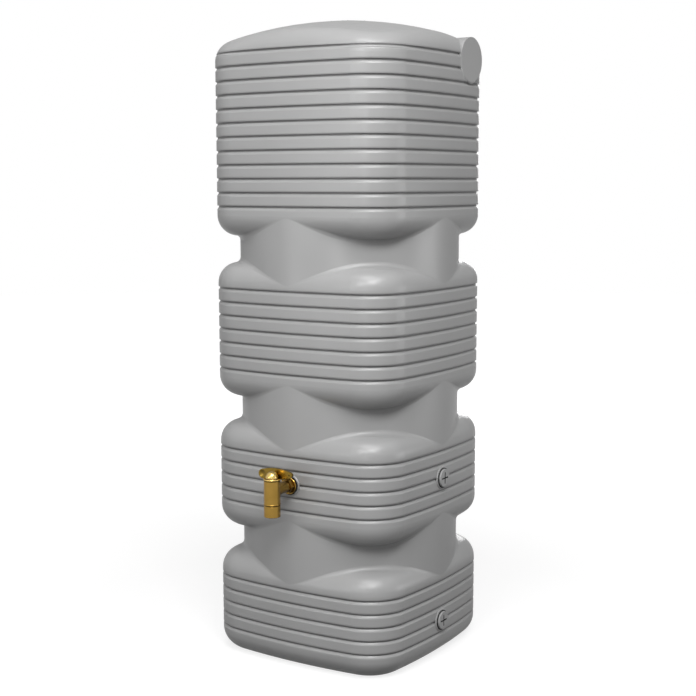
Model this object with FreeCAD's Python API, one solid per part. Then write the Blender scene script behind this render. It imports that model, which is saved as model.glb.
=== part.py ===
import FreeCAD, Part
import math
import os

# Rainwater tank: a moulded column of four grooved, rounded-square blocks joined by round necks,
# with a brass tap at the front, two blanking plugs on the right and a screw lid in the domed top.
# Millimetres, +Z up, origin on the floor at the tank's axis. The tap faces -Y, the plugs +X.

V = FreeCAD.Vector
Z_AXIS = V(0, 0, 1)

# Plan of the blocks
half_width = 296.6
face_radius = 1642.0
corner_radius = 114.0
neck_inset = 0.2
wall = 5.0

# Grooves and blocks, from the top down
groove_groups = (12, 7, 5, 5)
groove_pitch = 35.75
gap_pitches = 6
last_groove_height = 69.5
groove_depth = 4.0
groove_upper = 4.0
groove_flat_above = 2.4
groove_flat_below = 0.6
groove_lower = 6.2

# Rims, shoulders and dome
shoulder_below = 76.0
shoulder_above = 67.0
shoulder_radius = 54.0
foot_radius = 58.0
neck_fillet = 14.0
dome_radius = 970.0
dome_above = 89.75
rim_radius = 55.0

# Moulded pipe boss at the top of the right face
boss_radius = 58.0
boss_y = 137.0
boss_drop = 9.75
boss_inset = 1.1
boss_fillet = 10.0

# Lid and its well
well_radius = 103.0
well_depth = 32.0
well_corner = 6.0
collar_radius = 82.0
collar_wall = 6.0
lid_sink = 3.0
lid_thickness = 4.0
lid_wall = 4.0
lid_gap = 0.5
lid_skirt_gap = 2.0
lid_lobes = 12
lobe_radius = 3.0
gasket_width = 5.0
gasket_thickness = 2.7
gasket_gap = 0.3

# Moulded pads with brass inserts
pad_proud = 2.5
pad_bevel = 1.5
pad_depth = 14.0
insert_radius = 17.5
insert_key = 3.5
insert_key_width = 5.0
insert_length = 15.0
insert_sink = 0.5
insert_bore = 13.0
mould_gap = 0.05
thread_gap = 0.1

# Blanking plugs
plug_y = -6.0
plug_pad_radius = 31.0
upper_plug_groove = (2, 2)
lower_plug_groove = (3, 3)
seal_radius = 27.0
seal_thickness = 2.0
head_radius = 24.3
head_thickness = 4.5
head_round = 1.5
shank_length = 18.0
cross_length = 31.0
cross_width = 4.0
cross_depth = 3.5

# Tap
tap_x = 7.0
tap_groove = (2, 2)
tap_pad_radius = 29.0
tap_reach = 80.5
tap_gasket_radius = 25.0
tap_gasket_thickness = 3.0
flange_radius = 23.0
flange_thickness = 4.0
hex_flats = 35.0
hex_length = 13.0
pipe_radius = 15.5
pipe_bore = 8.0
spigot_length = 19.0
barrel_radius = 21.4
bead_radius = 1.9
bead_proud = 0.9
bead_rise = 2.3
barrel_above = 27.0
barrel_below = 36.0
barrel_top_plate = 5.0
valve_bore = 14.0
running_gap = 0.05
end_gap = 0.3

# Valve plug
valve_length = 38.5
valve_hollow = 9.0
valve_hollow_height = 27.5
port_radius = 7.5
ring_section = 1.3
ring_inset = 4.5
ring_slack = 0.15
stem_radius = 7.0
drive_side = 9.0
stem_above_barrel = 12.0

# Handle
handle_radius = 22.2
handle_round = 2.3
handle_base = 4.7
hub_radius = 12.0
hub_height = 14.0
wing_thickness = 6.5
wing_gap = 0.4
wing_left = 54.5
wing_right = 50.5
paddle_low = -2.0
paddle_high = 22.8
tip_low = 8.5
tip_high = 22.0
crest_x = 3.0
crest_height = 28.8
tip_round = 4.0
dish_depth = 2.5
dish_rim = 2.5
seal_hole_radius = 2.0
seal_hole_inset = 8.8
seal_hole_height = 14.5
cap_radius = 16.0
cap_wall = 2.0
cap_rise = 19.5
cap_skirt = 5.0
screw_radius = 2.5
screw_head_radius = 4.5
screw_head_height = 3.0
screw_length = 12.0

# Nozzle
nozzle_radius = 21.5
nozzle_gap = 0.6
nozzle_length = 30.5
nozzle_chamfer = 1.5
nozzle_spigot_length = 17.0
outlet_radius = 15.0
outlet_depth = 18.0
outlet_bore = 10.0
washer_inner = 14.6
washer_outer = 18.2
washer_thickness = 2.0

# Sizes and heights worked out from the others
neck_radius = half_width - neck_inset
boss_face = half_width - boss_inset
groups_below = [sum(n - 1 for n in groove_groups[k + 1:]) for k in range(len(groove_groups))]


def groove_height(group, index):
    """Height of a groove, counted from the top of its block."""
    blocks_under = len(groove_groups) - 1 - group
    steps = groups_below[group] + gap_pitches * blocks_under
    steps += groove_groups[group] - 1 - index
    return last_groove_height + groove_pitch * steps


top_groove = groove_height(0, 0)
dome_height = top_groove + dome_above
boss_z = top_groove - boss_drop
tap_z = groove_height(*tap_groove)
barrel_y = -(half_width + tap_reach)
barrel_top = tap_z + barrel_above
barrel_end = tap_z - barrel_below
well_floor = dome_height - well_depth
lid_top = dome_height - lid_sink
collar_top = lid_top - lid_thickness - gasket_thickness - gasket_gap
collar_height = collar_top - well_floor


def arc(start, middle, end):
    """Edge through three points."""
    return Part.Arc(start, middle, end).toShape()


def plan_arcs(inset):
    """Centre, radius, middle angle and half angle of the plan's eight tangent arcs."""
    reach = face_radius - half_width
    slack = face_radius - corner_radius
    c = (math.sqrt(2 * slack ** 2 - reach ** 2) - reach) / 2
    half_face = math.atan2(c, c + reach)
    half_corner = math.pi / 4 - half_face
    arcs = []
    for k in range(4):
        turn = k * math.pi / 2
        face_centre = V(-reach * math.cos(turn), -reach * math.sin(turn), 0)
        arcs.append((face_centre, face_radius - inset, turn, half_face))
        diagonal = turn + math.pi / 4
        corner_centre = V(math.cos(diagonal), math.sin(diagonal), 0) * (c * math.sqrt(2))
        arcs.append((corner_centre, corner_radius - inset, diagonal, half_corner))
    return arcs


def plan_face(inset, z):
    """Rounded square with slightly crowned sides, at one height."""
    edges = []
    for centre, radius, middle, half in plan_arcs(inset):
        points = [centre + V(math.cos(a), math.sin(a), 0) * radius + V(0, 0, z)
                  for a in (middle - half, middle, middle + half)]
        edges.append(arc(*points))
    return Part.Face(Part.Wire(edges))


def rim_edges(shape, z):
    """Edges that lie at one height."""
    return [e for e in shape.Edges if abs(e.BoundBox.ZMin - z) < 0.01 and abs(e.BoundBox.ZMax - z) < 0.01]


def block(inset, bottom, top, low_radius):
    """One block of the column, with its upper and lower edges rounded."""
    solid = plan_face(inset, bottom).extrude(V(0, 0, top - bottom))
    solid = solid.makeFillet(shoulder_radius - inset, rim_edges(solid, top))
    return solid.makeFillet(low_radius - inset, rim_edges(solid, bottom))


def domed_block(inset, bottom):
    """Top block: a spherical dome over the plan, with a wide rounded rim."""
    solid = plan_face(inset, bottom).extrude(V(0, 0, dome_height - bottom))
    ball = Part.makeSphere(dome_radius - inset, V(0, 0, dome_height - dome_radius))
    solid = solid.common(ball)
    rim = [e for e in solid.Edges if e.BoundBox.ZMin > top_groove - 20 and e.BoundBox.ZLength < 40]
    solid = solid.makeFillet(rim_radius - inset, rim)
    return solid.makeFillet(shoulder_radius - inset, rim_edges(solid, bottom))


def column(inset):
    """The whole column, outside with inset 0 and the cavity with the wall as inset."""
    lowest = groove_height(0, groove_groups[0] - 1) - shoulder_below + inset
    solid = domed_block(inset, lowest)
    for group in range(1, len(groove_groups)):
        top = groove_height(group, 0) + shoulder_above - inset
        if group == len(groove_groups) - 1:
            bottom = inset
            low_radius = foot_radius
        else:
            bottom = groove_height(group, groove_groups[group] - 1) - shoulder_below + inset
            low_radius = shoulder_radius
        neck_start = groove_height(group, 0)
        neck_end = groove_height(group - 1, groove_groups[group - 1] - 1)
        neck = Part.makeCylinder(neck_radius - inset, neck_end - neck_start, V(0, 0, neck_start))
        solid = solid.fuse([neck, block(inset, bottom, top, low_radius)])
    return solid.removeSplitter()


def neck_edges(shape, inset):
    """Edges where the shoulders meet the round necks."""
    found = []
    for e in shape.Edges:
        if e.Length < 1 or e.BoundBox.ZLength > 60 or e.BoundBox.DiagonalLength - e.BoundBox.ZLength < 0.5:
            continue
        points = e.discretize(5)
        if all(abs(math.hypot(p.x, p.y) - neck_radius + inset) < 0.01 for p in points):
            found.append(e)
    return found


def boss_edges(shape):
    """Edges where the pipe boss leaves the block."""
    found = []
    for e in shape.Edges:
        if e.Length < 1 or e.BoundBox.XMin < 1 or e.BoundBox.XLength < 0.01:
            continue
        points = e.discretize(5)
        if all(abs(math.hypot(p.y - boss_y, p.z - boss_z) - boss_radius) < 0.01 for p in points):
            if max(abs(p.y - points[0].y) for p in points) > 0.5:
                found.append(e)
    return found


def groove_cutter():
    """Ring that follows the plan at height 0: a steep upper side, a narrow floor and a sloping lower side."""
    pieces = []
    over = 1.0
    grow = over / groove_depth
    upper_end = groove_upper + (groove_upper - groove_flat_above) * grow
    lower_end = groove_lower + (groove_lower - groove_flat_below) * grow
    for centre, radius, middle, half in plan_arcs(0):
        start = middle - half
        out = V(math.cos(start), math.sin(start), 0)
        section = [centre + out * (radius + over) + V(0, 0, upper_end),
                   centre + out * (radius - groove_depth) + V(0, 0, groove_flat_above),
                   centre + out * (radius - groove_depth) - V(0, 0, groove_flat_below),
                   centre + out * (radius + over) - V(0, 0, lower_end)]
        face = Part.Face(Part.makePolygon(section + section[:1]))
        pieces.append(face.revolve(centre, Z_AXIS, math.degrees(2 * half)))
    return pieces[0].fuse(pieces[1:]).removeSplitter()


def ring(axis_point, axis, outer, inner, start, length):
    """Tube along an axis, from start to start plus length."""
    place = axis_point + axis * start
    solid = Part.makeCylinder(outer, length, place, axis)
    if inner > 0:
        solid = solid.cut(Part.makeCylinder(inner, length, place, axis))
    return solid


def turned(profile, base, axis):
    """Solid turned from (radius, distance along the axis) points."""
    side = V(0, 0, 1) if abs(axis.z) < 0.5 else V(1, 0, 0)
    points = [base + side * r + axis * d for r, d in profile]
    return Part.Face(Part.makePolygon(points + points[:1])).revolve(base, axis, 360)


def pad_places():
    """Wall point, outward direction and pad radius of the three pads."""
    return {"tap": (V(tap_x, -half_width, tap_z), V(0, -1, 0), tap_pad_radius),
            "upper": (V(half_width, plug_y, groove_height(*upper_plug_groove)), V(1, 0, 0), plug_pad_radius),
            "lower": (V(half_width, plug_y, groove_height(*lower_plug_groove)), V(1, 0, 0), plug_pad_radius)}


def pad(point, axis, radius):
    """Thick round pad through the wall, with a bevelled front."""
    straight = pad_depth + pad_proud - pad_bevel
    body = Part.makeCylinder(radius, straight, point - axis * pad_depth, axis)
    front = point + axis * (pad_proud - pad_bevel)
    return body.fuse(Part.makeCone(radius, radius - pad_bevel, pad_bevel, front, axis))


def insert_blank(name, gap):
    """Outside of a moulded-in bush, keyed by a ring round its middle."""
    point, axis, radius = pad_places()[name]
    front = pad_proud - insert_sink
    key_start = front - (insert_length + insert_key_width) / 2
    body = Part.makeCylinder(insert_radius + gap, insert_length, point + axis * (front - insert_length), axis)
    key = Part.makeCylinder(insert_radius + insert_key + gap, insert_key_width + 2 * gap,
                            point + axis * (key_start - gap), axis)
    return body.fuse(key)


def lid_well_cut():
    """Round well in the dome, with the lid's mouth through its floor."""
    depth = well_depth + 10
    well = Part.makeCylinder(well_radius, depth, V(0, 0, well_floor))
    well = well.makeFillet(well_corner, rim_edges(well, well_floor))
    return well


def tank_shell():
    """Moulded body: walls, dome, grooves, pads, pipe boss and lid collar in one piece."""
    outside = column(0)
    outside = outside.makeFillet(neck_fillet, neck_edges(outside, 0))
    inside = column(wall)
    boss = Part.makeCylinder(boss_radius, boss_face, V(0, boss_y, boss_z), V(1, 0, 0))
    well_lining = Part.makeCylinder(well_radius + wall, well_depth + wall + 20, V(0, 0, well_floor - wall))
    well_lining = well_lining.common(Part.makeSphere(dome_radius, V(0, 0, dome_height - dome_radius)))
    outside = outside.fuse(boss)
    outside = outside.makeFillet(boss_fillet, boss_edges(outside))
    cutter = groove_cutter()
    kept_clear = Part.makeCylinder(boss_radius + boss_fillet / 2, boss_face, V(0, boss_y, boss_z), V(1, 0, 0))
    grooves = []
    for group, count in enumerate(groove_groups):
        for index in range(count):
            copy = cutter.copy()
            copy.translate(V(0, 0, groove_height(group, index)))
            if abs(groove_height(group, index) - boss_z) < boss_radius:
                copy = copy.cut(kept_clear)
            grooves.append(copy)
    outside = outside.cut(grooves)
    hollow_boss = Part.makeCylinder(boss_radius - wall, boss_face - wall, V(0, boss_y, boss_z), V(1, 0, 0))
    inside = inside.fuse(hollow_boss)
    shell = outside.cut(inside)
    pads = [pad(*place) for place in pad_places().values()]
    shell = shell.fuse(pads + [well_lining])
    collar = ring(V(0, 0, 0), Z_AXIS, collar_radius, 0, well_floor - wall, wall + collar_height)
    shell = shell.cut(lid_well_cut()).fuse(collar)
    mouth = Part.makeCylinder(collar_radius - collar_wall, wall + collar_height + 20,
                              V(0, 0, well_floor - wall - 10))
    shell = shell.cut(mouth)
    for name, (point, axis, radius) in pad_places().items():
        through = Part.makeCylinder(insert_radius, pad_depth + pad_proud + 10,
                                    point - axis * (pad_depth + 5), axis)
        shell = shell.cut(insert_blank(name, mould_gap).fuse(through))
    return shell.removeSplitter()


def insert(name):
    """Brass bush moulded into a pad."""
    point, axis, radius = pad_places()[name]
    bore = Part.makeCylinder(insert_bore, insert_length + 10, point - axis * insert_length, axis)
    return insert_blank(name, 0).cut(bore)


def plug_seal(name):
    """Rubber ring under a plug's head."""
    point, axis, radius = pad_places()[name]
    return ring(point, axis, seal_radius, insert_bore + thread_gap, pad_proud, seal_thickness)


def blanking_plug(name):
    """Plug with a round head and a cross slot."""
    point, axis, radius = pad_places()[name]
    seat = pad_proud + seal_thickness
    head = Part.makeCylinder(head_radius, head_thickness, point + axis * seat, axis)
    front = seat + head_thickness
    rim = [e for e in head.Edges if abs(e.BoundBox.Center.x - (point + axis * front).x) < 0.01]
    head = head.makeFillet(head_round, rim)
    shank_end = point + axis * (seat - shank_length)
    shank = Part.makeCylinder(insert_bore - thread_gap, shank_length, shank_end, axis)
    shank = shank.makeChamfer(1.0, [e for e in shank.Edges if e.BoundBox.XMax < shank_end.x + 0.01])
    slot = Part.makeBox(cross_depth + 1, cross_length, cross_width,
                        point + V(front - cross_depth, -cross_length / 2, -cross_width / 2))
    bar = Part.makeBox(cross_depth + 1, cross_width, cross_length,
                       point + V(front - cross_depth, -cross_width / 2, -cross_length / 2))
    return head.fuse(shank).cut([slot, bar])


def tap_gasket():
    """Rubber ring between the pad and the tap's flange."""
    point, axis, radius = pad_places()["tap"]
    return ring(point, axis, tap_gasket_radius, insert_bore + thread_gap, pad_proud, tap_gasket_thickness)


def tap_body():
    """Turned and bored tap: flange, hexagon, pipe and upright barrel."""
    point, axis, radius = pad_places()["tap"]
    seat = pad_proud + tap_gasket_thickness
    flange = Part.makeCylinder(flange_radius, flange_thickness, point + axis * seat, axis)
    flange = flange.makeChamfer(1.0, [e for e in flange.Edges if e.BoundBox.YMax < point.y - seat - 1])
    spigot = Part.makeCylinder(insert_bore - thread_gap, spigot_length,
                               point + axis * (seat - spigot_length), axis)
    corner = hex_flats / math.sqrt(3)
    hex_start = seat + flange_thickness
    turns = [k * math.pi / 3 for k in range(7)]
    corners = [point + axis * hex_start + V(corner * math.cos(t), 0, corner * math.sin(t)) for t in turns]
    hexagon = Part.Face(Part.makePolygon(corners)).extrude(axis * hex_length)
    rounding = Part.makeCone(corner + 2.0 + hex_length, corner - 1.2, hex_length + 3.2,
                             point + axis * hex_start, axis)
    hexagon = hexagon.common(rounding)
    pipe = Part.makeCylinder(pipe_radius, tap_reach - seat, point + axis * seat, axis)
    collar = Part.makeCylinder(pipe_radius + 1.5, barrel_radius + 4.0, V(tap_x, barrel_y, tap_z), -axis)
    length = barrel_above + barrel_below
    barrel = Part.makeCylinder(barrel_radius, length, V(tap_x, barrel_y, barrel_end))
    barrel = barrel.makeChamfer(0.8, rim_edges(barrel, barrel_end))
    bead = Part.makeTorus(barrel_radius + bead_proud - bead_radius, bead_radius,
                          V(tap_x, barrel_y, barrel_end + bead_rise))
    body = barrel.fuse([pipe, collar, hexagon, flange, spigot, bead])
    bore = Part.makeCylinder(valve_bore, length - barrel_top_plate, V(tap_x, barrel_y, barrel_end))
    neck = Part.makeCylinder(stem_radius + running_gap, length, V(tap_x, barrel_y, barrel_end))
    waterway = Part.makeCylinder(pipe_bore, tap_reach + spigot_length, point - axis * spigot_length, axis)
    return body.cut([bore, neck, waterway]).removeSplitter()


def valve_plug():
    """Turning valve: a hollow plug with a side port, two ring grooves and a squared stem."""
    base = V(tap_x, barrel_y, 0)
    top = barrel_top - barrel_top_plate - end_gap
    bottom = top - valve_length
    body = Part.makeCylinder(valve_bore - running_gap, valve_length, base + V(0, 0, bottom))
    stem = Part.makeCylinder(stem_radius, barrel_top_plate + end_gap * 2, base + V(0, 0, top))
    drive_start = barrel_top + end_gap
    drive = Part.makeBox(drive_side, drive_side, stem_above_barrel,
                         base + V(-drive_side / 2, -drive_side / 2, drive_start))
    hollow = Part.makeCylinder(valve_hollow, valve_hollow_height, base + V(0, 0, bottom))
    port = Part.makeCylinder(port_radius, valve_bore, base + V(0, 0, tap_z), V(-1, 0, 0))
    cuts = [hollow, port]
    for z in ring_heights():
        half = ring_section + ring_slack
        floor = valve_bore - running_gap - 2 * ring_section - ring_slack
        cuts.append(ring(base, Z_AXIS, valve_bore + 1, floor, z - half, 2 * half))
    thread_start = drive_start + stem_above_barrel - screw_length
    cuts.append(Part.makeCylinder(screw_radius + mould_gap, screw_length, base + V(0, 0, thread_start)))
    return body.fuse([stem, drive]).cut(cuts)


def ring_heights():
    """Heights of the lower and upper sealing rings."""
    top = barrel_top - barrel_top_plate - end_gap
    return (top - valve_length + ring_inset, top - ring_inset)


def valve_ring(z):
    """Rubber O-ring in the valve plug."""
    return Part.makeTorus(valve_bore - running_gap - ring_section, ring_section, V(tap_x, barrel_y, z))


def tap_handle():
    """Wing handle: round base with a squared hub and an upright wing behind it."""
    base = V(tap_x, barrel_y, barrel_top + end_gap)
    disc = Part.makeCylinder(handle_radius, handle_base, base)
    disc = disc.makeFillet(handle_round, [e for e in disc.Edges if e.BoundBox.ZLength < 0.1])
    hub = Part.makeCylinder(hub_radius, hub_height, base)
    shift = V(0, cap_radius + wing_gap, 0)
    paddle_round = (paddle_high - paddle_low) / 2
    left = -wing_left
    right = wing_right
    middle = (paddle_high + paddle_low) / 2
    high_left = base + shift + V(left + paddle_round, 0, paddle_high)
    high_right = base + shift + V(right - tip_round, 0, tip_high)
    low_right = base + shift + V(right - tip_round, 0, tip_low)
    low_left = base + shift + V(left + paddle_round, 0, paddle_low)
    heel_left = base + shift + V(-barrel_radius + 3.0, 0, 1.0)
    heel_right = base + shift + V(barrel_radius - 3.0, 0, 1.0)
    tip_middle = base + shift + V(right, 0, (tip_low + tip_high) / 2)
    edges = [Part.makeLine(low_right, heel_right), Part.makeLine(heel_right, heel_left),
             Part.makeLine(heel_left, low_left),
             arc(low_left, base + shift + V(left, 0, middle), high_left),
             arc(high_left, base + shift + V(crest_x, 0, crest_height), high_right),
             arc(high_right, tip_middle, low_right)]
    wing = Part.Face(Part.Wire(Part.sortEdges(edges)[0])).extrude(V(0, wing_thickness, 0))
    reach = paddle_round - dish_rim
    ball = (reach ** 2 + dish_depth ** 2) / (2 * dish_depth)
    dish = Part.makeSphere(ball, base + shift + V(left + paddle_round, dish_depth - ball, middle))
    hole = Part.makeCylinder(seal_hole_radius, wing_thickness * 3,
                             base + shift + V(right - seal_hole_inset, -wing_thickness, seal_hole_height),
                             V(0, 1, 0))
    drive = drive_side + 2 * mould_gap
    socket = Part.makeBox(drive, drive, hub_height * 2, base + V(-drive / 2, -drive / 2, -1))
    return disc.fuse([hub, wing]).cut([dish, hole, socket]).removeSplitter()


def handle_cap():
    """Domed cap over the handle's screw."""
    base = V(tap_x, barrel_y, barrel_top + end_gap + handle_base)
    rise = cap_rise - cap_skirt
    ball = (cap_radius ** 2 + rise ** 2) / (2 * rise)
    dome = Part.makeCylinder(cap_radius, cap_rise, base)
    dome = dome.common(Part.makeSphere(ball, base + V(0, 0, cap_rise - ball)))
    inner = Part.makeCylinder(cap_radius - cap_wall, cap_rise, base)
    inner = inner.common(Part.makeSphere(ball - cap_wall, base + V(0, 0, cap_rise - ball)))
    return dome.cut(inner)


def handle_screw():
    """Screw that holds the handle on the valve's stem."""
    base = V(tap_x, barrel_y, barrel_top + end_gap + hub_height)
    head = Part.makeCylinder(screw_head_radius, screw_head_height, base)
    shank = Part.makeCylinder(screw_radius, screw_length, base - V(0, 0, screw_length))
    slot = Part.makeBox(screw_head_radius * 2, 1.0, 1.2,
                        base + V(-screw_head_radius, -0.5, screw_head_height - 1.2))
    return head.fuse(shank).cut(slot)


def nozzle():
    """Screwed outlet under the barrel, with a spigot above and a wide socket below."""
    base = V(tap_x, barrel_y, barrel_end)
    spigot_radius = valve_bore - thread_gap
    profile = [(outlet_bore, nozzle_spigot_length), (spigot_radius, nozzle_spigot_length),
               (spigot_radius, -nozzle_gap), (nozzle_radius - nozzle_chamfer, -nozzle_gap),
               (nozzle_radius, -nozzle_gap - nozzle_chamfer),
               (nozzle_radius, -nozzle_gap - nozzle_length + 1.0),
               (nozzle_radius - 1.0, -nozzle_gap - nozzle_length),
               (outlet_radius, -nozzle_gap - nozzle_length),
               (outlet_radius, -nozzle_gap - nozzle_length + outlet_depth),
               (outlet_bore, -nozzle_gap - nozzle_length + outlet_depth)]
    body = turned(profile, base, Z_AXIS)
    seat = ring(base, Z_AXIS, washer_outer + mould_gap, washer_inner - mould_gap,
                -washer_thickness, washer_thickness)
    return body.cut(seat)


def nozzle_washer():
    """Washer between the barrel and the nozzle."""
    return ring(V(tap_x, barrel_y, barrel_end), Z_AXIS, washer_outer, washer_inner,
                -washer_thickness, washer_thickness)


def lid():
    """Screw lid: a flat cap with a skirt and finger lobes."""
    skirt_inner = collar_radius + lid_gap
    skirt_outer = skirt_inner + lid_wall
    bottom = well_floor + lid_skirt_gap
    body = Part.makeCylinder(skirt_outer, lid_top - bottom, V(0, 0, bottom))
    lobes = []
    for k in range(lid_lobes):
        a = 2 * math.pi * k / lid_lobes
        place = V(skirt_outer * math.cos(a), skirt_outer * math.sin(a), bottom)
        lobes.append(Part.makeCylinder(lobe_radius, lid_top - bottom, place))
    body = body.fuse(lobes).removeSplitter()
    body = body.makeFillet(1.5, rim_edges(body, lid_top))
    inside = Part.makeCylinder(skirt_inner, lid_top - lid_thickness - bottom, V(0, 0, bottom))
    return body.cut(inside)


def lid_gasket():
    """Flat ring between the lid and the collar."""
    top = lid_top - lid_thickness
    return ring(V(0, 0, 0), Z_AXIS, collar_radius, collar_radius - gasket_width,
                top - gasket_thickness, gasket_thickness)


def build():
    """Every piece of the tank by name."""
    low_ring, high_ring = ring_heights()
    return {"tank_shell": tank_shell(),
            "lid": lid(),
            "lid_gasket": lid_gasket(),
            "tap_insert": insert("tap"),
            "upper_insert": insert("upper"),
            "lower_insert": insert("lower"),
            "upper_plug": blanking_plug("upper"),
            "upper_plug_seal": plug_seal("upper"),
            "lower_plug": blanking_plug("lower"),
            "lower_plug_seal": plug_seal("lower"),
            "tap_gasket": tap_gasket(),
            "tap_body": tap_body(),
            "valve_plug": valve_plug(),
            "lower_valve_ring": valve_ring(low_ring),
            "upper_valve_ring": valve_ring(high_ring),
            "tap_handle": tap_handle(),
            "handle_cap": handle_cap(),
            "handle_screw": handle_screw(),
            "nozzle": nozzle(),
            "nozzle_washer": nozzle_washer()}


os.makedirs("parts", exist_ok=True)
for name, shape in build().items():
    shape.exportStep("parts/" + name + ".step")
    print(name, len(shape.Solids), round(shape.Volume / 1000, 1), "cm3", shape.isValid())
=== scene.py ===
import math
import bmesh
import bpy
from mathutils import Matrix, Vector


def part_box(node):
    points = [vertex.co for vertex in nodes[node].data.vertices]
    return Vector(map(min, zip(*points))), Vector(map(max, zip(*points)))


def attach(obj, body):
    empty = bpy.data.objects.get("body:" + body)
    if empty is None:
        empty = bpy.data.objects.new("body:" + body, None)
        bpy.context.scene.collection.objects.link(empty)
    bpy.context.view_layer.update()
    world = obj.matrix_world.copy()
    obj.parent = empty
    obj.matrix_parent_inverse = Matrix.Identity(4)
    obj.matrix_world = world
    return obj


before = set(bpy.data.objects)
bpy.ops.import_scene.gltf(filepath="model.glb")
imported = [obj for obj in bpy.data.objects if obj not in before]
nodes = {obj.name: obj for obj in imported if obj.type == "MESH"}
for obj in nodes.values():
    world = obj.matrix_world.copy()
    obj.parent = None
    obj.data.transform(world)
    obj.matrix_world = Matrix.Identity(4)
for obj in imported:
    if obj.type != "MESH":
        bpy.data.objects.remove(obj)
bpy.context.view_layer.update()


# ---------- shader nodes ----------

def add(tree, kind, **values):
    """New node, with its sockets and settings given by name."""
    node = tree.nodes.new(kind)
    for key, value in values.items():
        if key in node.inputs:
            node.inputs[key].default_value = value
        else:
            setattr(node, key, value)
    return node


def feed(tree, node, values):
    """Numbers are set on the node's sockets in turn, and other sockets are linked to them."""
    for socket, value in zip(node.inputs, values):
        if isinstance(value, bpy.types.NodeSocket):
            tree.links.new(value, socket)
        else:
            socket.default_value = value


def calc(tree, operation, *values):
    node = add(tree, "ShaderNodeMath", operation=operation)
    feed(tree, node, values)
    return node.outputs[0]


def measure(tree, operation, *vectors):
    """Length, distance or dot product."""
    node = add(tree, "ShaderNodeVectorMath", operation=operation)
    feed(tree, node, vectors)
    return node.outputs["Value"]


def strongest(tree, shades):
    largest, *others = shades
    for shade in others:
        largest = calc(tree, "MAXIMUM", largest, shade)
    return largest


def ramp(tree, value, start, end, low=0.0, high=1.0):
    """Low up to the start, high from the end on, and even between them."""
    node = add(tree, "ShaderNodeMapRange",
               **{"From Min": start, "From Max": end, "To Min": low, "To Max": high})
    tree.links.new(value, node.inputs["Value"])
    return node.outputs["Result"]


def object_place(tree):
    return add(tree, "ShaderNodeTexCoord").outputs["Object"]


def upward(tree, vector):
    """Upright part of a place or a direction."""
    parts = add(tree, "ShaderNodeSeparateXYZ")
    tree.links.new(vector, parts.inputs[0])
    return parts.outputs["Z"]


def noise(tree, place, scale, detail):
    node = add(tree, "ShaderNodeTexNoise", Scale=scale, Detail=detail)
    tree.links.new(place, node.inputs["Vector"])
    return node.outputs["Fac"]


noise_low, noise_high = 0.3, 0.7


def spread(tree, value, low, high):
    """The middle of a noise's range, stretched from low to high."""
    return ramp(tree, value, noise_low, noise_high, low, high)


def blend(tree, share, first, second, mode="MIX"):
    """Two colours mixed by a share. Input 0 is the share, 6 and 7 are the colours."""
    node = add(tree, "ShaderNodeMix", data_type="RGBA", blend_type=mode)
    for k, value in ((0, share), (6, first), (7, second)):
        if isinstance(value, bpy.types.NodeSocket):
            tree.links.new(value, node.inputs[k])
        else:
            node.inputs[k].default_value = (*value, 1)
    return node.outputs[2]


def grey(level):
    return (level, level, level)


def darkened(tree, colour, shade, share):
    """Colour taken down to a share of itself where shade is 1."""
    return blend(tree, shade, colour, grey(share), "MULTIPLY")


recess_samples = 12


def recess(tree, reach):
    """1 on open surfaces, less in hollows that are narrower than the reach."""
    hollow = add(tree, "ShaderNodeAmbientOcclusion", samples=recess_samples, only_local=True,
                 Distance=reach)
    return hollow.outputs["AO"]


def bump(tree, height, strength, depth, over=None):
    node = add(tree, "ShaderNodeBump", Strength=strength, Distance=depth)
    tree.links.new(height, node.inputs["Height"])
    if over is not None:
        tree.links.new(over, node.inputs["Normal"])
    return node.outputs["Normal"]


# ---------- grooves and creases of the tank ----------

# The blocks' grooves, counted in pitches up from the lowest one.
groove_pitch = 0.03575
lowest_groove = 0.0695
groove_runs = ((0, 4), (10, 14), (20, 26), (32, 43))
run_margin = 0.49

# Each lip of a groove as heights over the groove's line: its edge, and where its rounding
# starts outside and inside the groove. The last number is the depth of the rounding.
lower_lip = (-0.0062, -0.0092, -0.0028, -0.00056)
upper_lip = (0.0040, 0.0085, 0.0024, -0.0013)

# The shade on a groove's floor comes in over the first pair of heights and ends over the second.
groove_floor_start = (-0.0016, 0.0004)
groove_floor_end = (0.0046, 0.0038)
groove_floor_share = 0.45


def middle(low, high):
    return [(a + b) / 2 for a, b in zip(low, high)]


# No groove runs within reach of these places: the tap's and the plugs' pads, and the pipe boss.
pad_reaches = (("tap_gasket", 0.0294), ("upper_plug_seal", 0.0312), ("lower_plug_seal", 0.0312))
plain_places = [(middle(*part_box(name)), reach) for name, reach in pad_reaches]
plain_places.append(((0.2955, 0.137, 1.597), 0.064))


def above_groove(tree, place):
    """Height over the nearest groove, and 1 only where grooves run."""
    height = calc(tree, "SUBTRACT", upward(tree, place), lowest_groove)
    steps = calc(tree, "DIVIDE", height, groove_pitch)
    part = calc(tree, "FRACT", calc(tree, "ADD", steps, 0.5))
    over = calc(tree, "MULTIPLY", calc(tree, "SUBTRACT", part, 0.5), groove_pitch)
    runs = []
    for first, last in groove_runs:
        half_run = (last - first) / 2 + run_margin
        runs.append(calc(tree, "COMPARE", steps, (first + last) / 2, half_run))
    there = strongest(tree, runs)
    for centre, reach in plain_places:
        away = measure(tree, "DISTANCE", place, centre)
        there = calc(tree, "MULTIPLY", there, calc(tree, "GREATER_THAN", away, reach))
    return over, there


def lip(tree, over, edge, outside, inside, depth):
    """Rounding of one edge of the groove, deepest at the edge itself."""
    near = calc(tree, "MINIMUM", ramp(tree, over, outside, edge), ramp(tree, over, inside, edge))
    return calc(tree, "MULTIPLY", calc(tree, "MULTIPLY", near, near), depth)


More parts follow.
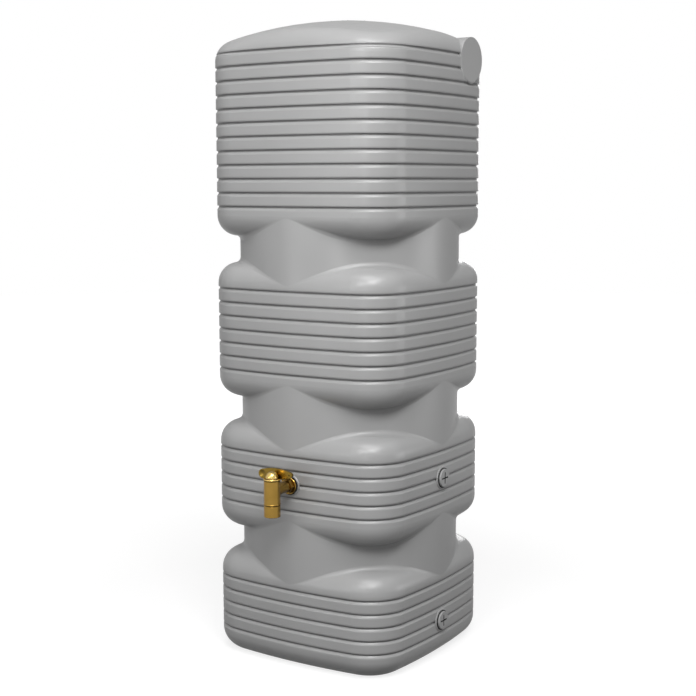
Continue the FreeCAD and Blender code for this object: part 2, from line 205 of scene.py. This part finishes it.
def rounded_lips(tree, over, there):
    """Bump of both lips, whose depths are real lengths and so need no scaling."""
    both = calc(tree, "ADD", lip(tree, over, *lower_lip), lip(tree, over, *upper_lip))
    return bump(tree, calc(tree, "MULTIPLY", both, there), 1.0, 1.0)


def groove_floors(tree, over, there):
    """1 on the floors of the grooves."""
    inside = calc(tree, "MINIMUM", ramp(tree, over, *groove_floor_start),
                  ramp(tree, over, *groove_floor_end))
    return calc(tree, "MULTIPLY", inside, there)


# Heights where the blocks' undersides meet the necks, and how far from them the shade reaches.
block_undersides = (0.3510, 0.7085, 1.1375)
crease_far, crease_near = 0.060, 0.015
crease_reach = 0.035
crease_open, crease_closed = 0.95, 0.50
foot_top, foot_bottom = 0.045, 0.005
foot_shade = 0.6
crease_share = 0.25


def creases(tree, place):
    """1 in the creases under the blocks, and some shade round the foot."""
    height = upward(tree, place)
    junctions = []
    for junction in block_undersides:
        away = calc(tree, "ABSOLUTE", calc(tree, "SUBTRACT", height, junction))
        junctions.append(ramp(tree, away, crease_far, crease_near))
    closed = ramp(tree, recess(tree, crease_reach), crease_open, crease_closed)
    hidden = calc(tree, "MULTIPLY", strongest(tree, junctions), closed)
    return calc(tree, "MAXIMUM", hidden, ramp(tree, height, foot_top, foot_bottom, 0.0, foot_shade))


# ---------- finishes ----------

# Scale and detail of each finish's noises: clouds in its colour, patches in its polish, grain.
plastic_noises = ((5.0, 3.0), (38.0, 4.0), (700.0, 2.0))
brass_noises = ((45.0, 3.0), (120.0, 3.0), (900.0, 2.0))
rubber_noises = ((90.0, 2.0), (300.0, 2.0), (1200.0, 2.0))
steel_noises = ((200.0, 2.0), (500.0, 2.0))

# Strength and depth of the grain.
plastic_grain = (0.25, 0.0002)
brass_grain = (0.04, 0.0001)
rubber_grain = (0.3, 0.0001)

plastic_ior = 1.5
# Painted shade in narrow slots: where it comes in and where it is full, and the share of colour
# left there.
slot_open, slot_closed = 0.95, 0.60
slot_share = 0.04
# Tarnish and painted shade in the brass's recesses: their reach, where they come in and where they
# are full, and the share of colour left there.
tarnish_and_shade_reach = 0.016
tarnish_and_shade_open, tarnish_and_shade_closed = 0.85, 0.35
tarnish_and_shade_share = 0.22
# Painted shade on the brass's downward faces: where it comes in and where it is full, and the share
# of colour left there.
underside_start, underside_end = -0.05, -0.55
underside_share = 0.3


def new_finish(name):
    mat = bpy.data.materials.new(name)
    mat.use_nodes = True
    tree = mat.node_tree
    return mat, tree, tree.nodes["Principled BSDF"], object_place(tree)


def clouded(tree, place, noises, dark, light):
    """Colour that drifts between two tones."""
    return blend(tree, spread(tree, noise(tree, place, *noises[0]), 0.0, 1.0), dark, light)


def patchy(tree, place, noises, rough):
    """Roughness that drifts between two values."""
    return spread(tree, noise(tree, place, *noises[1]), *rough)


def moulded(name, dark, light, rough, grooved=False, slot_reach=None):
    """Satin plastic, with painted shade on the tank's groove floors, in its creases and round its
    foot, and rounded groove lips; or with painted shade in narrow slots.
    """
    mat, tree, shader, place = new_finish(name)
    colour = clouded(tree, place, plastic_noises, grey(dark), grey(light))
    polish = patchy(tree, place, plastic_noises, rough)
    lips = None
    if grooved:
        over, there = above_groove(tree, place)
        colour = darkened(tree, colour, groove_floors(tree, over, there), groove_floor_share)
        colour = darkened(tree, colour, creases(tree, place), crease_share)
        lips = rounded_lips(tree, over, there)
    # Painted shade in narrow slots, which are also made rougher.
    if slot_reach:
        deep = ramp(tree, recess(tree, slot_reach), slot_open, slot_closed)
        colour = darkened(tree, colour, deep, slot_share)
        polish = calc(tree, "MAXIMUM", polish, deep)
    texture = bump(tree, noise(tree, place, *plastic_noises[2]), *plastic_grain, lips)
    tree.links.new(colour, shader.inputs["Base Color"])
    tree.links.new(polish, shader.inputs["Roughness"])
    tree.links.new(texture, shader.inputs["Normal"])
    shader.inputs["IOR"].default_value = plastic_ior
    return mat


def brass(name, dark, light, rough):
    """Brass with tarnish and painted shade in its recesses, and painted shade on its undersides."""
    mat, tree, shader, place = new_finish(name)
    colour = clouded(tree, place, brass_noises, dark, light)
    # Tarnish and painted shade in recesses.
    tarnished_and_shaded = ramp(tree, recess(tree, tarnish_and_shade_reach), tarnish_and_shade_open, tarnish_and_shade_closed)
    colour = darkened(tree, colour, tarnished_and_shaded, tarnish_and_shade_share)
    # Painted shade on faces that look down.
    facing = upward(tree, add(tree, "ShaderNodeTexCoord").outputs["Normal"])
    below = ramp(tree, facing, underside_start, underside_end)
    colour = darkened(tree, colour, below, underside_share)
    texture = bump(tree, noise(tree, place, *brass_noises[2]), *brass_grain)
    tree.links.new(colour, shader.inputs["Base Color"])
    tree.links.new(patchy(tree, place, brass_noises, rough), shader.inputs["Roughness"])
    tree.links.new(texture, shader.inputs["Normal"])
    shader.inputs["Metallic"].default_value = 1.0
    return mat


def rubber(name, dark, light, rough):
    """Matt black rubber."""
    mat, tree, shader, place = new_finish(name)
    colour = clouded(tree, place, rubber_noises, grey(dark), grey(light))
    texture = bump(tree, noise(tree, place, *rubber_noises[2]), *rubber_grain)
    tree.links.new(colour, shader.inputs["Base Color"])
    tree.links.new(patchy(tree, place, rubber_noises, rough), shader.inputs["Roughness"])
    tree.links.new(texture, shader.inputs["Normal"])
    return mat


def plated_steel(name, dark, light, rough):
    """Bright plated steel."""
    mat, tree, shader, place = new_finish(name)
    colour = clouded(tree, place, steel_noises, dark, light)
    tree.links.new(colour, shader.inputs["Base Color"])
    tree.links.new(patchy(tree, place, steel_noises, rough), shader.inputs["Roughness"])
    shader.inputs["Metallic"].default_value = 1.0
    return mat


tank_grey = moulded("tank_grey", 0.352, 0.372, (0.29, 0.35), grooved=True)
lid_grey = moulded("lid_grey", 0.30, 0.33, (0.38, 0.48))
plug_grey = moulded("plug_grey", 0.34, 0.37, (0.32, 0.42), slot_reach=0.006)
seal_black = rubber("seal_black", 0.006, 0.014, (0.72, 0.88))
tap_gold = brass("tap_gold", (0.345, 0.209, 0.046), (0.390, 0.239, 0.057), (0.20, 0.27))
# Brass painted darker as the shade on the handle.
shaded_handle_gold = brass("shaded_handle_gold", (0.22, 0.145, 0.027), (0.26, 0.169, 0.035), (0.20, 0.26))
# Brass painted lighter as the highlight on the cap and on the rim under it.
painted_highlight_gold = brass("painted_highlight_gold", (0.62, 0.44, 0.15), (0.72, 0.52, 0.19), (0.14, 0.20))
bush_brass = brass("bush_brass", (0.50, 0.35, 0.10), (0.58, 0.41, 0.13), (0.25, 0.32))
screw_steel = plated_steel("screw_steel", (0.50, 0.50, 0.49), (0.62, 0.62, 0.60), (0.25, 0.40))

finish_of = {
    "tank_shell": tank_grey,
    "lid": lid_grey, "lid_gasket": seal_black,
    "tap_insert": bush_brass, "upper_insert": bush_brass, "lower_insert": bush_brass,
    "upper_plug": plug_grey, "upper_plug_seal": seal_black,
    "lower_plug": plug_grey, "lower_plug_seal": seal_black,
    "tap_gasket": seal_black, "tap_body": tap_gold, "valve_plug": tap_gold,
    "lower_valve_ring": seal_black, "upper_valve_ring": seal_black,
    "tap_handle": shaded_handle_gold, "handle_cap": painted_highlight_gold, "handle_screw": screw_steel,
    "nozzle": tap_gold, "nozzle_washer": seal_black,
}
for name, mat in finish_of.items():
    for slot in nodes[name].material_slots:
        slot.material = mat
    if not nodes[name].material_slots:
        nodes[name].data.materials.append(mat)


# ---------- rim under the tap's cap, in brass painted light as a highlight ---

wire_sides = 16
ring_steps = 96


def placed(name, bm, finish):
    """Object made of the finished bmesh, unturned and unscaled at the origin."""
    mesh = bpy.data.meshes.new(name)
    bm.to_mesh(mesh)
    bm.free()
    mesh.materials.append(finish)
    obj = bpy.data.objects.new(name, mesh)
    bpy.context.scene.collection.objects.link(obj)
    return obj


def ring_piece(name, centre, radius, section, finish, body):
    """Round wire ring about an upright axis."""
    bm = bmesh.new()
    made = bmesh.ops.create_circle(bm, segments=wire_sides, radius=section, cap_ends=False,
                                   matrix=Matrix.Rotation(math.pi / 2, 4, "X"))
    bmesh.ops.translate(bm, verts=made["verts"], vec=(radius, 0, 0))
    bmesh.ops.spin(bm, geom=bm.verts[:] + bm.edges[:], axis=(0, 0, 1), cent=(0, 0, 0),
                   angle=2 * math.pi, steps=ring_steps, use_merge=True)
    bmesh.ops.recalc_face_normals(bm, faces=bm.faces[:])
    bmesh.ops.translate(bm, verts=bm.verts[:], vec=centre)
    for face in bm.faces:
        face.smooth = True
    obj = placed(name, bm, finish)
    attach(obj, body)


rim_radius = 0.0203
rim_section = 0.0019
rim_drop = 0.0012
cap_low, cap_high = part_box("handle_cap")
cap_x, cap_y, _ = middle(cap_low, cap_high)
ring_piece("handle_rim", (cap_x, cap_y, cap_low[2] - rim_drop), rim_radius, rim_section,
           painted_highlight_gold, "valve")


# ---------- camera ----------

# The camera as fitted to the photograph. Width, focal length and shifts are in pixels.
picture_width = 696
focal_length = 1346.96
shift_up = 31.0
shift_right = -0.4872
sensor_width = 36.0
view_reach = 60.0
camera_place = (1.9989, -3.0896, 1.2845)
camera_ahead = (-0.5382, 0.8300, -0.1464)
camera_right = (0.8391, 0.5439, -0.0015)


def photo_camera():
    lens = bpy.data.cameras.new("photo_camera")
    cam = bpy.data.objects.new("photo_camera", lens)
    bpy.context.scene.collection.objects.link(cam)
    lens.sensor_fit = "HORIZONTAL"
    lens.sensor_width = sensor_width
    lens.lens = focal_length / picture_width * sensor_width
    lens.shift_x = shift_right / picture_width
    lens.shift_y = shift_up / picture_width
    lens.clip_end = view_reach
    ahead = Vector(camera_ahead).normalized()
    side = Vector(camera_right)
    side = (side - side.dot(ahead) * ahead).normalized()
    turn = Matrix((side, side.cross(ahead), -ahead)).transposed().to_4x4()
    cam.matrix_world = Matrix.Translation(camera_place) @ turn
    bpy.context.scene.camera = cam


# ---------- floor, room and lamps ----------

# What the floor gives back to the tank, and how strongly light and shadow show on it.
bounce_grey = 0.14
shadow_grey = 0.30
floor_radius = 12.0
floor_sides = 96

# The floor's own glow near the tank and far from it, as seen and as mirrored in the gloss.
near_floor, far_floor = 0.9, 3.0
seen_glow = (0.80, 1.0)
mirrored_glow = (0.30, 0.68)

# The white room is mirrored more dimly behind the tank, along the way that the camera looks.
room_light = 0.05
way_beyond = (-0.5446, 0.8387, 0.0)
beyond_start, beyond_end = 0.1, 0.8
beyond_dimmer = 0.5


def seen_by_eye_or_gloss(tree):
    path = add(tree, "ShaderNodeLightPath")
    return strongest(tree, [path.outputs[ray + " Ray"]
                            for ray in ("Is Camera", "Is Transmission", "Is Glossy")])


def seen_by_gloss(tree):
    return add(tree, "ShaderNodeLightPath").outputs["Is Glossy Ray"]


def choose(tree, when, normally, then):
    mix = add(tree, "ShaderNodeMixShader")
    feed(tree, mix, (when, normally.outputs[0], then.outputs[0]))
    return mix.outputs[0]


def floor_white():
    mat = bpy.data.materials.new("floor_white")
    mat.use_nodes = True
    tree = mat.node_tree
    tree.nodes.clear()
    bounce = add(tree, "ShaderNodeBsdfDiffuse", Color=(*grey(bounce_grey), 1))
    shadow = add(tree, "ShaderNodeBsdfDiffuse", Color=(*grey(shadow_grey), 1))
    glow = add(tree, "ShaderNodeEmission", Color=(1, 1, 1, 1))
    away = measure(tree, "LENGTH", object_place(tree))
    seen = ramp(tree, away, near_floor, far_floor, *seen_glow)
    mirrored = ramp(tree, away, near_floor, far_floor, *mirrored_glow)
    less = calc(tree, "MULTIPLY", calc(tree, "SUBTRACT", seen, mirrored), seen_by_gloss(tree))
    tree.links.new(calc(tree, "SUBTRACT", seen, less), glow.inputs["Strength"])
    both = add(tree, "ShaderNodeAddShader")
    feed(tree, both, (shadow.outputs[0], glow.outputs[0]))
    out = add(tree, "ShaderNodeOutputMaterial")
    surface = choose(tree, seen_by_eye_or_gloss(tree), bounce, both)
    tree.links.new(surface, out.inputs["Surface"])
    return mat


def floor():
    bm = bmesh.new()
    bmesh.ops.create_circle(bm, cap_ends=True, segments=floor_sides, radius=floor_radius)
    placed("floor", bm, floor_white())


def room():
    world = bpy.data.worlds.new("studio")
    bpy.context.scene.world = world
    world.use_nodes = True
    tree = world.node_tree
    tree.nodes.clear()
    walls = add(tree, "ShaderNodeBackground", Color=(1, 1, 1, 1), Strength=room_light)
    white = add(tree, "ShaderNodeBackground", Color=(1, 1, 1, 1))
    direction = add(tree, "ShaderNodeTexCoord").outputs["Generated"]
    beyond = measure(tree, "DOT_PRODUCT", direction, way_beyond)
    dimmer = ramp(tree, beyond, beyond_start, beyond_end, 0.0, beyond_dimmer)
    less = calc(tree, "MULTIPLY", seen_by_gloss(tree), dimmer)
    tree.links.new(calc(tree, "SUBTRACT", 1.0, less), white.inputs["Strength"])
    out = add(tree, "ShaderNodeOutputWorld")
    surface = choose(tree, seen_by_eye_or_gloss(tree), walls, white)
    tree.links.new(surface, out.inputs["Surface"])


# Azimuth from the front towards the right and elevation in degrees, distance from the target,
# width and height, power in watts, and the target.
tank_middle = (0, 0, 0.9)
lamps = {
    "front_box": (-8, 12, 5.0, 1.4, 1.4, 22, tank_middle),
    "left_box": (-24, 0, 5.0, 1.4, 1.4, 13, tank_middle),
    "side_box": (118, 0, 5.0, 2.6, 1.4, 31, tank_middle),
    "key_box": (40, 40, 5.0, 1.6, 1.4, 103, tank_middle),
    "high_box": (60, 52, 5.0, 1.6, 1.4, 46, tank_middle),
    "upper_box": (22, 64, 5.0, 1.8, 1.4, 61, tank_middle),
    "corner_box": (20, 0, 4.0, 0.3, 1.0, 8, (0, 0, 1.25)),
    "back_box": (200, 10, 5.0, 2.0, 1.4, 48, tank_middle),
    "near_box": (12, 20, 3.0, 1.0, 1.0, 25, (0, 0, 1.5)),
}


def softbox(name, azimuth, elevation, distance, width, height, power, target):
    lamp = bpy.data.lights.new(name, "AREA")
    lamp.shape = "RECTANGLE"
    lamp.size = width
    lamp.size_y = height
    lamp.energy = power
    obj = bpy.data.objects.new(name, lamp)
    bpy.context.scene.collection.objects.link(obj)
    a, e = math.radians(azimuth), math.radians(elevation)
    away = Vector((math.sin(a) * math.cos(e), -math.cos(a) * math.cos(e), math.sin(e)))
    obj.location = Vector(target) + distance * away
    obj.rotation_euler = away.to_track_quat("Z", "Y").to_euler()


photo_camera()
floor()
room()
for name, setting in lamps.items():
    softbox(name, *setting)

bpy.context.scene.view_settings.view_transform = "Standard"
